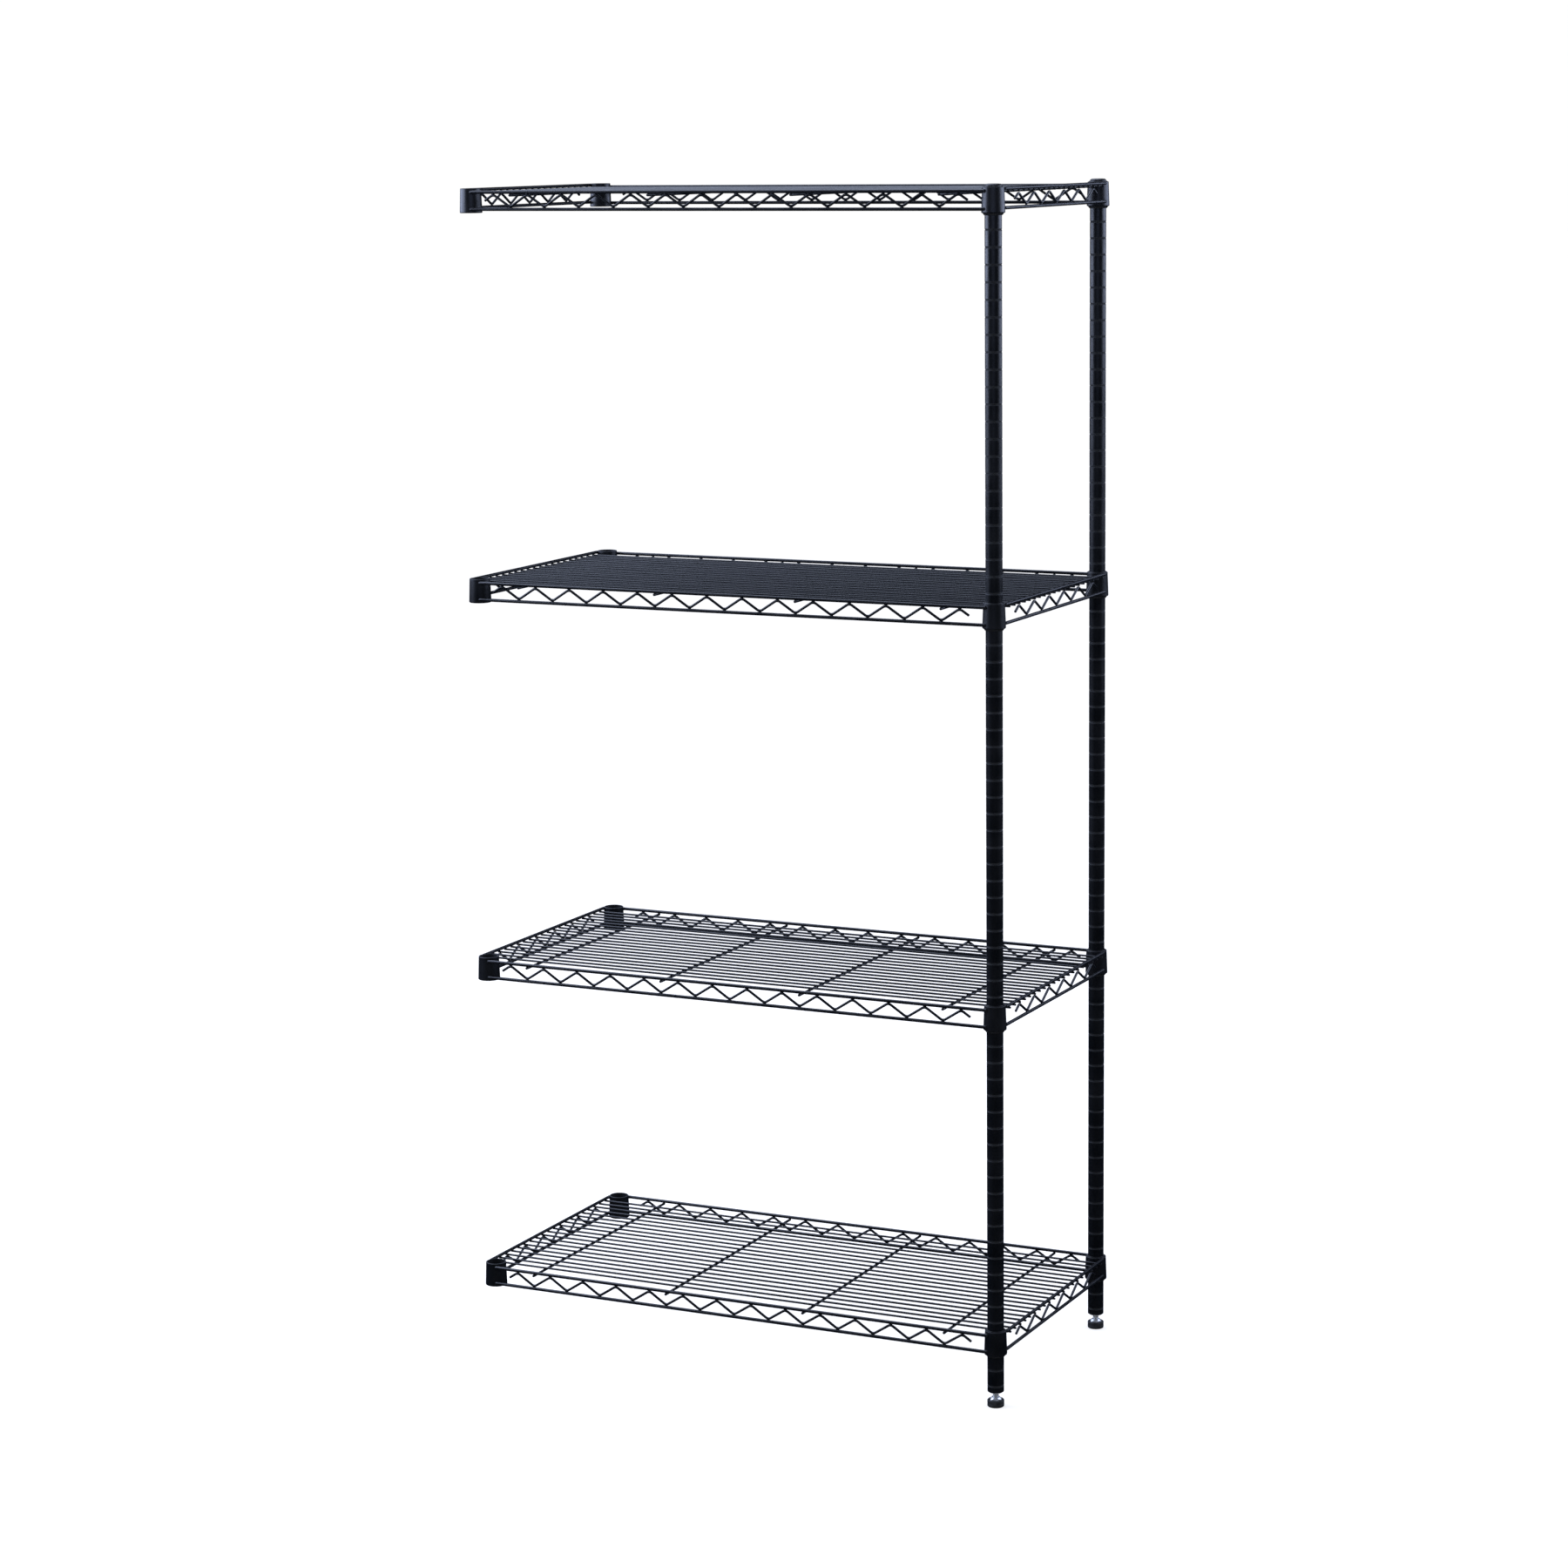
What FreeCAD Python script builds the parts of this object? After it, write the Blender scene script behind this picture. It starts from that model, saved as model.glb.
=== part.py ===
import FreeCAD, Part
import math
import os
import Sketcher
from FreeCAD import Rotation, Vector

# An add-on bay of wire shelving: two grooved posts at the right-hand end carry four wire shelves,
# and the empty collars at the left-hand end are hooked to a neighbouring bay.
# Millimetres. The origin is on the floor under the middle of the bay; +X runs along the shelves
# towards the posts, -Y is the front and +Z is up.

doc = FreeCAD.newDocument("wire_shelving_add_on")
sheet = doc.addObject("Spreadsheet::Sheet", "Sizes")

DRIVING_SIZES = [
    ("overall_length", 914.4),        # over the wire ends, 36 in
    ("overall_depth", 457.2),         # over the wire ends, 18 in
    ("wire_overhang", 2.7),           # how far a wire's end passes the rail's centre line it is welded to
    ("post_diameter", 25.4),
    ("post_wall", 1.2),
    ("floor_to_post", 24.0),          # height of the feet as drawn
    ("groove_pitch", 25.4),
    ("groove_first", 9.8),            # post's lower end to the middle of its first groove
    ("groove_last", 12.6),            # middle of the last groove to the post's upper end
    ("groove_depth", 0.6),
    ("groove_width", 1.8),            # at the groove's mouth
    ("groove_bottom_width", 0.8),
    ("bottom_shelf_groove", 3.0),     # which groove holds the bottom shelf's sleeves
    ("gap_lower", 20.0),              # shelf spacings, counted in grooves
    ("gap_middle", 24.0),
    ("gap_upper", 24.0),
    ("cap_height", 3.0),              # of the end cap's head above the tube
    ("cap_bevel", 2.2),
    ("cap_skirt", 14.0),
    ("insert_length", 20.0),
    ("insert_lip", 1.5),              # the foot insert's flange below the tube
    ("insert_lip_inset", 2.0),
    ("press_gap", 0.02),              # radial gap of a plug pressed into the tube
    ("collar_height", 38.0),
    ("collar_top_diameter", 32.6),
    ("collar_bottom_diameter", 35.4),
    ("collar_wall", 1.8),
    ("collar_upper_edge", 0.7),       # bevel round the collar's upper edge
    ("collar_lower_edge", 1.5),
    ("collar_top_to_groove", 11.0),   # collar's upper edge down to the groove its sleeves lock in
    ("sleeve_above", 1.0),            # how far the sleeves stand out of the collar
    ("sleeve_below", 3.0),
    ("sleeve_gap_angle", 5.0),        # open angle between the two sleeve halves
    ("sleeve_clearance", 0.06),       # sleeve to post, radial
    ("collar_clearance", 0.1),        # sleeve to collar, radial
    ("bead_height", 0.35),
    ("bead_width", 1.2),
    ("bead_tip_width", 0.5),
    ("sleeve_foot_wall", 1.0),        # sleeve's wall at its lower edge, below the bevel
    ("rail_diameter", 5.2),
    ("rail_offset", 15.0),            # rail's centre line outside the collars' centre line
    ("rail_end_gap", 6.5),            # rail's end, short of the collar's axis
    ("side_rail_drop", 2.6),          # collar's upper edge down to the side rails' centre line
    ("side_lower_drop", 30.6),
    ("front_lower_drop", 32.0),
    ("zigzag_diameter", 4.0),
    ("zigzag_bend", 8.0),             # bend radius of the zigzag's centre line
    ("long_zigzag_pitch", 60.1),
    ("zigzag_end_margin", 45.0),      # first and last peaks are at least this far from the collars
    ("mat_diameter", 3.3),
    ("mat_pitch", 20.1),
    ("mat_to_collar", 1.9),           # least gap from the outer mat wires' centres to the collars
    ("cross_diameter", 4.2),
    ("cross_step", 4.0),              # cross wires are this many long zigzag pitches apart, even
    ("side_zigzag_step", 3.0),        # mat wires to one pitch of the side zigzags
    ("stem_diameter", 9.4),
    ("stem_length", 38.0),
    ("stem_clearance", 0.07),
    ("hex_across_corners", 20.0),
    ("hex_height", 4.6),
    ("hex_cone_height", 3.9),
    ("hex_cone_top", 13.0),
    ("pad_diameter", 26.0),
    ("pad_height", 11.0),
    ("pad_floor", 6.0),               # thickness under the hexagon
    ("pad_bevel", 1.4),
    ("pad_hex_gap", 0.4),             # pad's recess round the hexagon, radial
    ("pad_float", 0.2),               # hexagon's lower face above the recess floor
]

for row, (alias, size) in enumerate(DRIVING_SIZES, start=1):
    sheet.set(f"A{row}", alias)
    sheet.set(f"B{row}", str(size))
    sheet.setAlias(f"B{row}", alias)
doc.recompute()


def expand(expression):
    """Write each sheet alias in an expression in full, as Sizes.alias."""
    for alias, _ in sorted(DRIVING_SIZES, key=lambda pair: -len(pair[0])):
        expression = expression.replace(f"<{alias}>", f"Sizes.{alias}")
    return expression


def value(expression):
    """Work out an expression of <alias> sizes as a plain number."""
    return float(sheet.evalExpression(expand(expression)))


def bind(item, prop, expression):
    """Tie a property of an object to an expression of <alias> sizes."""
    item.setExpression(prop, expand(expression))


def place(item, x, y, z, axis=None, angle=0.0):
    """Tie an object's Placement to three expressions, with a fixed turn about an axis."""
    if axis is not None:
        item.Placement.Rotation = Rotation(axis, angle)
    bind(item, "Placement.Base.x", x)
    bind(item, "Placement.Base.y", y)
    bind(item, "Placement.Base.z", z)


# ---- Lines that everything else is measured from ----------------------------------------------

COLLAR_X = "(<overall_length> / 2 - <wire_overhang> - <rail_offset>)"
COLLAR_Y = "(<overall_depth> / 2 - <wire_overhang> - <rail_offset>)"
SIDE_RAIL_X = f"({COLLAR_X} + <rail_offset>)"
FRONT_RAIL_Y = f"({COLLAR_Y} + <rail_offset>)"

MAT_DROP = "(<side_rail_drop> + <rail_diameter> / 2 + <mat_diameter> / 2)"
CROSS_DROP = f"({MAT_DROP} + <mat_diameter> / 2 + <cross_diameter> / 2)"
FRONT_RAIL_DROP = f"({CROSS_DROP} - <cross_diameter> / 2 - <rail_diameter> / 2)"

BOTTOM_GROOVE = "<bottom_shelf_groove>"
SHELF_GROOVES = {
    4: f"({BOTTOM_GROOVE})",
    3: f"({BOTTOM_GROOVE} + <gap_lower>)",
    2: f"({BOTTOM_GROOVE} + <gap_lower> + <gap_middle>)",
    1: f"({BOTTOM_GROOVE} + <gap_lower> + <gap_middle> + <gap_upper>)",
}
POST_LENGTH = f"(<groove_first> + {SHELF_GROOVES[1]} * <groove_pitch> + <groove_last>)"
POST_TOP = f"(<floor_to_post> + {POST_LENGTH})"

SIDES = {"front": -1, "rear": 1}
ENDS = {"left": -1, "right": 1}


def collar_top(level):
    """Height of the upper edge of a shelf's collars; level 1 is the top shelf."""
    groove = f"<floor_to_post> + <groove_first> + {SHELF_GROOVES[level]} * <groove_pitch>"
    return f"({groove} + <collar_top_to_groove>)"


# ---- Ways of making a piece --------------------------------------------------------------------


def origin_plane(body, role):
    """Find one of a body's own origin planes by its role."""
    return next(item for item in body.Origin.OriginFeatures if item.Role == role)


def outline_sketch(body, name, corners, role="XZ_Plane"):
    """Draw a closed outline in a body, each corner pinned to a pair of size expressions."""
    sketch = body.newObject("Sketcher::SketchObject", name)
    sketch.AttachmentSupport = [(origin_plane(body, role), "")]
    sketch.MapMode = "FlatFace"
    points = [Vector(value(across), value(up), 0) for across, up in corners]
    count = len(points)
    for index in range(count):
        sketch.addGeometry(Part.LineSegment(points[index], points[(index + 1) % count]))
    for index in range(count):
        sketch.addConstraint(Sketcher.Constraint("Coincident", index, 2, (index + 1) % count, 1))
    for index, pair in enumerate(corners):
        for kind, axis, expression in (("DistanceX", -2, pair[0]), ("DistanceY", -1, pair[1])):
            number = value(expression)
            if number == 0.0:
                sketch.addConstraint(Sketcher.Constraint("PointOnObject", index, 1, axis))
                continue
            pin = sketch.addConstraint(Sketcher.Constraint(kind, -1, 1, index, 1, number))
            label = f"{kind}_{index}"
            sketch.renameConstraint(pin, label)
            bind(sketch, f"Constraints.{label}", expression)
    return sketch


def turned_body(label, corners, angle=360.0):
    """Turn an outline of radius and height pairs about the body's own Z axis."""
    body = doc.addObject("PartDesign::Body", label)
    sketch = outline_sketch(body, f"{label}_outline", corners)
    turn = body.newObject("PartDesign::Revolution", f"{label}_turn")
    turn.Profile = sketch
    turn.ReferenceAxis = (sketch, ["V_Axis"])
    turn.Angle = angle
    turn.Midplane = angle < 360.0
    doc.recompute()
    return body, turn, sketch


def row_of_wires(label, diameter, length, along, row_length, count):
    """Lay equal straight wires side by side, centred on the body's origin."""
    role, spread = {"X": ("YZ_Plane", "Y_Axis"), "Y": ("XZ_Plane", "X_Axis")}[along]
    body = doc.addObject("PartDesign::Body", label)
    body.AllowCompound = True
    wire = body.newObject("PartDesign::AdditiveCylinder", f"{label}_first")
    wire.AttachmentSupport = [(origin_plane(body, role), "")]
    wire.MapMode = "FlatFace"
    bind(wire, "Radius", f"{diameter} / 2")
    bind(wire, "Height", length)
    bind(wire, "AttachmentOffset.Base.x", f"-1 * {row_length} / 2")
    bind(wire, "AttachmentOffset.Base.z", f"-1 * {length} / 2")
    row = body.newObject("PartDesign::LinearPattern", f"{label}_row")
    row.Originals = [wire]
    row.Direction = (origin_plane(body, spread), [""])
    row.Mode = "Extent"
    bind(row, "Length", row_length)
    bind(row, "Occurrences", count)
    body.Tip = row
    return body


def bent_path(points, radius):
    """Join points in the XZ plane by straight runs and tangent arcs of one radius."""
    edges = []
    start = points[0]
    for before, corner, after in zip(points, points[1:], points[2:]):
        back = (before - corner).normalize()
        ahead = (after - corner).normalize()
        half_angle = back.getAngle(ahead) / 2
        setback = radius / math.tan(half_angle)
        bisector = (back + ahead).normalize()
        centre = corner + bisector * (radius / math.sin(half_angle))
        enter = corner + back * setback
        leave = corner + ahead * setback
        middle = centre - bisector * radius
        edges.append(Part.LineSegment(start, enter).toShape())
        edges.append(Part.Arc(enter, middle, leave).toShape())
        start = leave
    edges.append(Part.LineSegment(start, points[-1]).toShape())
    return Part.Wire(edges)


def zigzag_wire(name, span, pitch, peak_drop, trough_drop):
    """Bend one zigzag wire in the XZ plane, centred on X = 0, its free ends at mid height."""
    room = span - 2 * value("<zigzag_end_margin>")
    # An even number of peaks leaves a trough at mid span, where the cross wires start counting.
    peaks = 2 * int((room / pitch + 1) // 2)
    radius = value("<zigzag_bend>")
    high = -peak_drop
    low = -trough_drop
    # A bend passes inside its corner, so the corners stand out until the bends reach the rails.
    slope = math.atan2(high - low, pitch / 2)
    reach = radius * (1 / math.cos(slope) - 1)
    high += reach
    low -= reach
    middle = (high + low) / 2
    first = -(peaks - 1) * pitch / 2
    points = [Vector(first - pitch / 4, 0, middle)]
    for index in range(peaks):
        points.append(Vector(first + index * pitch, 0, high))
        if index < peaks - 1:
            points.append(Vector(first + (index + 0.5) * pitch, 0, low))
    points.append(Vector(first + (peaks - 1) * pitch + pitch / 4, 0, middle))
    path = bent_path(points, radius)
    direction = points[1] - points[0]
    circle = Part.Circle(points[0], direction, value("<zigzag_diameter> / 2"))
    section = Part.Wire([circle.toShape()])
    wire = doc.addObject("Part::Feature", name)
    wire.Shape = path.makePipeShell([section], True, False)
    return wire


def welded_rail(name, length, place_args, collar_space):
    """Cut one straight rail and cope its ends to the collars it is welded to."""
    rod = doc.addObject("Part::Cylinder", f"{name}_rod")
    bind(rod, "Radius", "<rail_diameter> / 2")
    bind(rod, "Height", length)
    place(rod, *place_args)
    coped = doc.addObject("Part::Cut", name)
    coped.Base = rod
    coped.Tool = collar_space
    return coped


def group(label, members):
    """Keep separate solids together as one sub-part."""
    compound = doc.addObject("Part::Compound", label)
    compound.Links = members
    return compound


# ---- Posts and what is fixed to them -----------------------------------------------------------

TUBE_RADIUS = "(<post_diameter> / 2)"
BORE_RADIUS = "(<post_diameter> / 2 - <post_wall>)"
PLUG_RADIUS = f"({BORE_RADIUS} - <press_gap>)"


def make_post(side):
    """A steel tube with a ring groove at every step of its height."""
    label = f"post_{side}"
    tube = [
        (BORE_RADIUS, "0"),
        (TUBE_RADIUS, "0"),
        (TUBE_RADIUS, POST_LENGTH),
        (BORE_RADIUS, POST_LENGTH),
    ]
    body, _, _ = turned_body(label, tube)
    # The groove's sides run on past the tube's skin by its depth, so they cross it at its mouth.
    floor_radius = f"({TUBE_RADIUS} - <groove_depth>)"
    cutter_radius = f"({TUBE_RADIUS} + <groove_depth>)"
    cutter_half = "(<groove_width> - <groove_bottom_width> / 2)"
    ring = [
        (floor_radius, "<groove_first> - <groove_bottom_width> / 2"),
        (cutter_radius, f"<groove_first> - {cutter_half}"),
        (cutter_radius, f"<groove_first> + {cutter_half}"),
        (floor_radius, "<groove_first> + <groove_bottom_width> / 2"),
    ]
    ring_sketch = outline_sketch(body, f"{label}_ring", ring)
    groove = body.newObject("PartDesign::Groove", f"{label}_groove")
    groove.Profile = ring_sketch
    groove.ReferenceAxis = (ring_sketch, ["V_Axis"])
    groove.Angle = 360.0
    doc.recompute()
    ladder = body.newObject("PartDesign::LinearPattern", f"{label}_ladder")
    ladder.Originals = [groove]
    ladder.Direction = (origin_plane(body, "Z_Axis"), [""])
    ladder.Mode = "Extent"
    bind(ladder, "Length", f"{SHELF_GROOVES[1]} * <groove_pitch>")
    bind(ladder, "Occurrences", f"{SHELF_GROOVES[1]} + 1")
    body.Tip = ladder
    place(body, COLLAR_X, f"{SIDES[side]} * {COLLAR_Y}", "<floor_to_post>")
    return body


def make_cap(side):
    """A moulded plug with a bevelled head that closes the post's upper end."""
    head_radius = f"({TUBE_RADIUS} - <cap_bevel>)"
    outline = [
        ("0", "0"),
        (PLUG_RADIUS, "0"),
        (PLUG_RADIUS, "<cap_skirt>"),
        (TUBE_RADIUS, "<cap_skirt>"),
        (TUBE_RADIUS, "<cap_skirt> + <cap_height> - <cap_bevel>"),
        (head_radius, "<cap_skirt> + <cap_height>"),
        ("0", "<cap_skirt> + <cap_height>"),
    ]
    body, _, _ = turned_body(f"post_cap_{side}", outline)
    place(body, COLLAR_X, f"{SIDES[side]} * {COLLAR_Y}", f"{POST_TOP} - <cap_skirt>")
    return body


def make_insert(side):
    """A zinc plug in the post's lower end, bored for the foot's stem."""
    hole = "(<stem_diameter> / 2 + <stem_clearance>)"
    outline = [
        (hole, "0"),
        (f"{TUBE_RADIUS} - <insert_lip_inset>", "0"),
        (f"{TUBE_RADIUS} - <insert_lip_inset>", "<insert_lip>"),
        (PLUG_RADIUS, "<insert_lip>"),
        (PLUG_RADIUS, "<insert_lip> + <insert_length>"),
        (hole, "<insert_lip> + <insert_length>"),
    ]
    body, _, _ = turned_body(f"foot_insert_{side}", outline)
    place(body, COLLAR_X, f"{SIDES[side]} * {COLLAR_Y}", "<floor_to_post> - <insert_lip>")
    return body


TAPER = "((<collar_bottom_diameter> - <collar_top_diameter>) / 2 / <collar_height>)"
COLLAR_BORE_TOP = "(<collar_top_diameter> / 2 - <collar_wall>)"
SLEEVE_HEIGHT = "(<collar_height> + <sleeve_above> + <sleeve_below>)"


def sleeve_radius(height):
    """Outside radius of the sleeves at a height above their lower edge."""
    below_top = f"(<collar_height> + <sleeve_below> - ({height}))"
    return f"({COLLAR_BORE_TOP} - <collar_clearance> + {TAPER} * {below_top})"


def make_sleeves(side, level):
    """Two tapered half sleeves that lock in a groove and wedge inside the collar."""
    label = f"split_sleeves_{side}_{level}"
    inner = f"({TUBE_RADIUS} + <sleeve_clearance>)"
    bead = f"({TUBE_RADIUS} - <bead_height>)"
    bead_height = "(<collar_height> + <sleeve_below> - <collar_top_to_groove>)"
    outline = [
        (inner, "0"),
        (f"{inner} + <sleeve_foot_wall>", "0"),
        (sleeve_radius("<sleeve_below>"), "<sleeve_below>"),
        (sleeve_radius(SLEEVE_HEIGHT), SLEEVE_HEIGHT),
        (inner, SLEEVE_HEIGHT),
        (inner, f"{bead_height} + <bead_width> / 2"),
        (bead, f"{bead_height} + <bead_tip_width> / 2"),
        (bead, f"{bead_height} - <bead_tip_width> / 2"),
        (inner, f"{bead_height} - <bead_width> / 2"),
    ]
    body, half, sketch = turned_body(label, outline, 180.0 - value("<sleeve_gap_angle>"))
    body.AllowCompound = True
    bind(half, "Angle", "180 - <sleeve_gap_angle>")
    pair = body.newObject("PartDesign::PolarPattern", f"{label}_pair")
    pair.Originals = [half]
    pair.Axis = (sketch, ["V_Axis"])
    pair.Angle = 360.0
    pair.Occurrences = 2
    body.Tip = pair
    base = f"{collar_top(level)} - <collar_height> - <sleeve_below>"
    place(body, COLLAR_X, f"{SIDES[side]} * {COLLAR_Y}", base, Vector(0, 0, 1), 90.0)
    return body


# ---- Levelling feet ------------------------------------------------------------------------------


def make_stem(side):
    """The foot's threaded stem, in one piece with the hexagon that turns it."""
    label = f"foot_stem_{side}"
    shoulder = "(<hex_height> + <hex_cone_height>)"
    outline = [
        ("0", "0"),
        ("<hex_across_corners> / 2 * cos(30 deg)", "0"),
        ("<hex_across_corners> / 2 * cos(30 deg)", "<hex_height>"),
        ("<hex_cone_top> / 2", shoulder),
        ("<stem_diameter> / 2", shoulder),
        ("<stem_diameter> / 2", f"{shoulder} + <stem_length>"),
        ("0", f"{shoulder} + <stem_length>"),
    ]
    body, _, _ = turned_body(label, outline)
    hexagon = body.newObject("PartDesign::AdditivePrism", f"{label}_hexagon")
    hexagon.Polygon = 6
    bind(hexagon, "Circumradius", "<hex_across_corners> / 2")
    bind(hexagon, "Height", "<hex_height>")
    body.Tip = hexagon
    place(body, COLLAR_X, f"{SIDES[side]} * {COLLAR_Y}", "<pad_floor> + <pad_float>")
    return body


def make_pad(side):
    """The round plastic shoe that the hexagon turns in."""
    recess = "(<hex_across_corners> / 2 + <pad_hex_gap>)"
    outline = [
        ("0", "0"),
        ("<pad_diameter> / 2 - <pad_bevel>", "0"),
        ("<pad_diameter> / 2", "<pad_bevel>"),
        ("<pad_diameter> / 2", "<pad_height>"),
        (recess, "<pad_height>"),
        (recess, "<pad_floor>"),
        ("0", "<pad_floor>"),
    ]
    body, _, _ = turned_body(f"foot_pad_{side}", outline)
    place(body, COLLAR_X, f"{SIDES[side]} * {COLLAR_Y}", "0")
    return body


# ---- Shelves -------------------------------------------------------------------------------------


def make_collar(side, end, level):
    """A tapered steel ring at a shelf's corner, wider at its lower edge."""
    top_radius = "(<collar_top_diameter> / 2)"
    bottom_radius = "(<collar_bottom_diameter> / 2)"
    outline = [
        (f"{bottom_radius} - <collar_wall>", "0"),
        (f"{bottom_radius} - <collar_lower_edge>", "0"),
        (f"{bottom_radius} - {TAPER} * <collar_lower_edge>", "<collar_lower_edge>"),
        (f"{top_radius} + {TAPER} * <collar_upper_edge>", "<collar_height> - <collar_upper_edge>"),
        (f"{top_radius} - <collar_upper_edge>", "<collar_height>"),
        (f"{top_radius} - <collar_wall>", "<collar_height>"),
    ]
    body, _, _ = turned_body(f"collar_{side}_{end}_{level}", outline)
    x = f"{ENDS[end]} * {COLLAR_X}"
    y = f"{SIDES[side]} * {COLLAR_Y}"
    place(body, x, y, f"{collar_top(level)} - <collar_height>")
    return body


def make_collar_space(level):
    """The outside of a shelf's four collars, as solid cones that the rails are coped to."""
    cones = []
    for side, y_sign in SIDES.items():
        for end, x_sign in ENDS.items():
            cone = doc.addObject("Part::Cone", f"cope_{side}_{end}_{level}")
            bind(cone, "Radius1", "<collar_bottom_diameter> / 2")
            bind(cone, "Radius2", "<collar_top_diameter> / 2")
            bind(cone, "Height", "<collar_height>")
            x = f"{x_sign} * {COLLAR_X}"
            y = f"{y_sign} * {COLLAR_Y}"
            place(cone, x, y, f"{collar_top(level)} - <collar_height>")
            cones.append(cone)
    return group(f"cope_{level}", cones)


def make_truss(name, level, collar_space):
    """Two rails along one edge of a shelf with a zigzag wire between them."""
    label = f"truss_{name}_{level}"
    top = collar_top(level)
    if name in SIDES:
        half_span, fixed, sign = COLLAR_X, FRONT_RAIL_Y, SIDES[name]
        pitch = "<long_zigzag_pitch>"
        upper_drop, lower_drop = FRONT_RAIL_DROP, "<front_lower_drop>"
        peak_rest = f"({FRONT_RAIL_DROP} + <rail_diameter> / 2)"
        axis, angle, turn = Vector(0, 1, 0), 90.0, 0.0
    else:
        half_span, fixed, sign = COLLAR_Y, SIDE_RAIL_X, ENDS[name]
        pitch = "<side_zigzag_step> * <mat_pitch>"
        upper_drop, lower_drop = "<side_rail_drop>", "<side_lower_drop>"
        peak_rest = f"({MAT_DROP} + <mat_diameter> / 2)"
        axis, angle, turn = Vector(1, 0, 0), -90.0, 90.0
    length = f"2 * ({half_span} - <rail_end_gap>)"
    start = f"-1 * ({half_span} - <rail_end_gap>)"
    across = f"{sign} * {fixed}"
    members = []
    for rail, drop in (("upper", upper_drop), ("lower", lower_drop)):
        height = f"{top} - {drop}"
        where = (start, across, height) if name in SIDES else (across, start, height)
        place_args = where + (axis, angle)
        members.append(welded_rail(f"{label}_{rail}_rail", length, place_args, collar_space))
    peak_drop = value(f"{peak_rest} + <zigzag_diameter> / 2")
    trough_drop = value(f"{lower_drop} - <rail_diameter> / 2 - <zigzag_diameter> / 2")
    span = value(f"2 * {half_span}")
    zigzag = zigzag_wire(f"{label}_zigzag", span, value(pitch), peak_drop, trough_drop)
    middle = ("0", across, top) if name in SIDES else (across, "0", top)
    place(zigzag, *middle, Vector(0, 0, 1), turn)
    members.append(zigzag)
    return group(label, members)


def make_mat(level):
    """The long wires that goods stand on, evenly spaced between the front and rear collars."""
    outer = "(<collar_bottom_diameter> / 2 + <mat_to_collar>)"
    pitches = f"floor(2 * ({COLLAR_Y} - {outer}) / <mat_pitch>)"
    row_length = f"({pitches} * <mat_pitch>)"
    mat = row_of_wires(f"mat_wires_{level}", "<mat_diameter>", "<overall_length>", "X",
                       row_length, f"{pitches} + 1")
    place(mat, "0", "0", f"{collar_top(level)} - {MAT_DROP}")
    return mat


def make_cross_wires(level):
    """The front-to-rear wires that carry the mat, each over a trough of the long zigzags."""
    room = f"(2 * ({COLLAR_X} - <zigzag_end_margin>))"
    peaks = f"(2 * floor(({room} / <long_zigzag_pitch> + 1) / 2))"
    steps = f"floor(({peaks} - 2) / <cross_step>)"
    row_length = f"({steps} * <cross_step> * <long_zigzag_pitch>)"
    wires = row_of_wires(f"cross_wires_{level}", "<cross_diameter>", "<overall_depth>", "Y",
                         row_length, f"{steps} + 1")
    place(wires, "0", "0", f"{collar_top(level)} - {CROSS_DROP}")
    return wires


# ---- The whole bay -------------------------------------------------------------------------------

sub_parts = []
for side in SIDES:
    sub_parts += [make_post(side), make_cap(side), make_insert(side)]
    sub_parts += [make_sleeves(side, level) for level in SHELF_GROOVES]
    sub_parts += [make_stem(side), make_pad(side)]

for level in SHELF_GROOVES:
    collar_space = make_collar_space(level)
    sub_parts += [make_collar(side, end, level) for side in SIDES for end in ENDS]
    sub_parts += [make_truss(name, level, collar_space) for name in (*SIDES, *ENDS)]
    sub_parts += [make_mat(level), make_cross_wires(level)]

doc.recompute()

# ---- Checks and files ----------------------------------------------------------------------------

for item in doc.Objects:
    if {"Invalid", "Error"} & set(item.State):
        raise RuntimeError(f"{item.Label} failed: {item.State}")
for item in sub_parts:
    if item.Shape.isNull() or not item.Shape.isValid() or not item.Shape.Solids:
        raise RuntimeError(f"{item.Label} has no valid solid")

os.makedirs("parts", exist_ok=True)
for item in sub_parts:
    item.Shape.exportStep(f"parts/{item.Label}.step")
    box = item.Shape.BoundBox
    print(f"{item.Label}: {len(item.Shape.Solids)} solid(s), {item.Shape.Volume:.0f} mm3, "
          f"z {box.ZMin:.1f} to {box.ZMax:.1f}")
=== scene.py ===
# %% [markdown]
# # A wire shelving add-on bay, finished in Blender
# The bay is four welded wire shelves on two grooved steel posts. The other end of each shelf has
# empty corner collars, because it hangs on the posts of the bay next door. The CAD model gives
# every size and place. This lesson dresses it: each CAD solid is replaced by a finer surface
# worked out with numpy, with rolled edges, weld nuggets and real threads, and then painted.

# %% Load the frame
import math

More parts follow.
